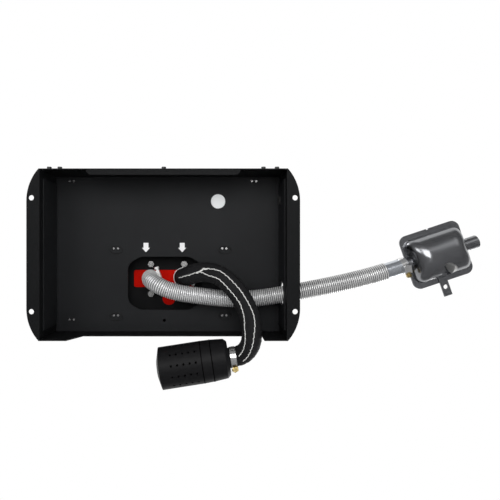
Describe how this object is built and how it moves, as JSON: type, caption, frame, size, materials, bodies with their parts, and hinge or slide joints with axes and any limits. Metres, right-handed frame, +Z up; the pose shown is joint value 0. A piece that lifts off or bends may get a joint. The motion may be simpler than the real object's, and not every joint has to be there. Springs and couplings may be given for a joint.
{
  "type": "diesel air heater",
  "caption": "Diesel air heater in a black folded-steel cabinet, with a ribbed exhaust hose to a steel silencer and a sleeved intake hose to an intake silencer.",
  "frame": {"origin": "middle of the cabinet's footprint, at floor level, on the underside of the two foot flanges", "axes": "+Z up, -Y the front with the controller, +X the side that the exhaust leaves by"},
  "size_m": [0.6984, 0.3455, 0.3568],
  "materials": {
    "cabinet_black": "satin black powder coat on sheet steel",
    "bright_zinc": "bright zinc-plated steel",
    "stainless": "smooth pressed stainless steel",
    "hose_foil": "crimped aluminium foil",
    "cast_aluminium": "as cast",
    "sleeve_fabric": "black braided sleeve over card hose",
    "black_plastic": "moulded, finely textured",
    "white_plastic": "blow-moulded polyethylene",
    "red_silicone": "matt red silicone rubber",
    "black_rubber": "soft black rubber",
    "motor_steel": "bright drawn steel",
    "screen_glass": "dark tinted display window",
    "board_green": "solder-masked circuit board",
    "fuel_line": "translucent nylon tube"
  },
  "bodies": {
    "cabinet": {"base_pan": "cabinet_black", "pan_rivets": "bright_zinc", "left_side_panel": "cabinet_black", "right_side_panel": "cabinet_black", "front_panel": "cabinet_black", "rear_panel": "cabinet_black", "top_cover": "cabinet_black", "cabinet_screws": "cabinet_black", "handle_brackets": "cabinet_black", "handle_pins": "bright_zinc", "mount_bracket": "cabinet_black", "port_gasket": "red_silicone", "mount_nuts": "bright_zinc", "lower_shell": "black_plastic", "upper_shell": "black_plastic", "control_board": "board_green", "heat_exchanger": "cast_aluminium", "burner_tube": "stainless", "glow_plug": "bright_zinc", "overheat_sensor": "black_plastic", "burner_housing": "cast_aluminium", "fan_motor": "motor_steel", "outlet_duct": "cast_aluminium", "outlet_collar": "black_plastic", "inlet_guard": "cabinet_black", "fuel_tank": "white_plastic", "filler_seal": "black_rubber", "fuel_pump": "bright_zinc", "pump_holder": "black_rubber", "fuel_filter": "white_plastic", "fuel_lines": "fuel_line", "controller_case": "black_plastic", "display_window": "screen_glass", "cable_grommet": "black_rubber", "muffler_lower_shell": "stainless", "muffler_upper_shell": "stainless", "muffler_inlet": "stainless", "muffler_outlet": "stainless", "muffler_bracket": "stainless", "exhaust_hose": "hose_foil", "silencer_base": "black_plastic", "silencer_cup": "black_plastic", "silencer_foam": "black_rubber", "intake_hose": "sleeve_fabric", "exhaust_port_clamp": "bright_zinc", "intake_port_clamp": "bright_zinc", "muffler_clamp": "bright_zinc", "silencer_clamp": "bright_zinc"},
    "rotor": {"motor_shaft": "motor_steel", "combustion_fan": "cast_aluminium", "hot_air_fan": "black_plastic"},
    "cap": {"tank_cap": "black_plastic"},
    "handle": {"carry_handle": "cabinet_black", "handle_grip": "black_rubber"},
    "vent": {"outlet_vent": "black_plastic"},
    "key_power": {"button_power": "black_rubber"},
    "key_ok": {"button_ok": "black_rubber"},
    "key_up": {"button_up": "black_rubber"},
    "key_down": {"button_down": "black_rubber"},
    "plunger": {"pump_plunger": "stainless"}
  },
  "joints": [
    {"name": "fan_spin", "type": "hinge", "parent": "cabinet", "child": "rotor", "pos_m": [0.1, 0.042, 0.1695], "axis": [1, 0, 0], "continuous": true},
    {"name": "cap_turn", "type": "hinge", "parent": "cabinet", "child": "cap", "pos_m": [-0.095, -0.08, 0.345], "axis": [0, 0, 1], "range_deg": [0, 90]},
    {"name": "handle_fold", "type": "hinge", "parent": "cabinet", "child": "handle", "pos_m": [0, -0.004, 0.3413], "axis": [1, 0, 0], "range_deg": [0, 90]},
    {"name": "vent_turn", "type": "hinge", "parent": "cabinet", "child": "vent", "pos_m": [-0.196, 0.042, 0.1695], "axis": [1, 0, 0], "continuous": true},
    {"name": "plunger_slide", "type": "slide", "parent": "cabinet", "child": "plunger", "axis": [0, 1, 0], "range_m": [0, 0.002], "stiffness_N_per_m": 400},
    {"name": "press_down", "type": "slide", "parent": "cabinet", "child": "key_down", "axis": [0, 1, 0], "range_m": [0, 0.0012], "stiffness_N_per_m": 600},
    {"name": "press_up", "type": "slide", "parent": "cabinet", "child": "key_up", "axis": [0, 1, 0], "range_m": [0, 0.0012], "stiffness_N_per_m": 600},
    {"name": "press_ok", "type": "slide", "parent": "cabinet", "child": "key_ok", "axis": [0, 1, 0], "range_m": [0, 0.0012], "stiffness_N_per_m": 600},
    {"name": "press_power", "type": "slide", "parent": "cabinet", "child": "key_power", "axis": [0, 1, 0], "range_m": [0, 0.0012], "stiffness_N_per_m": 600}
  ]
}
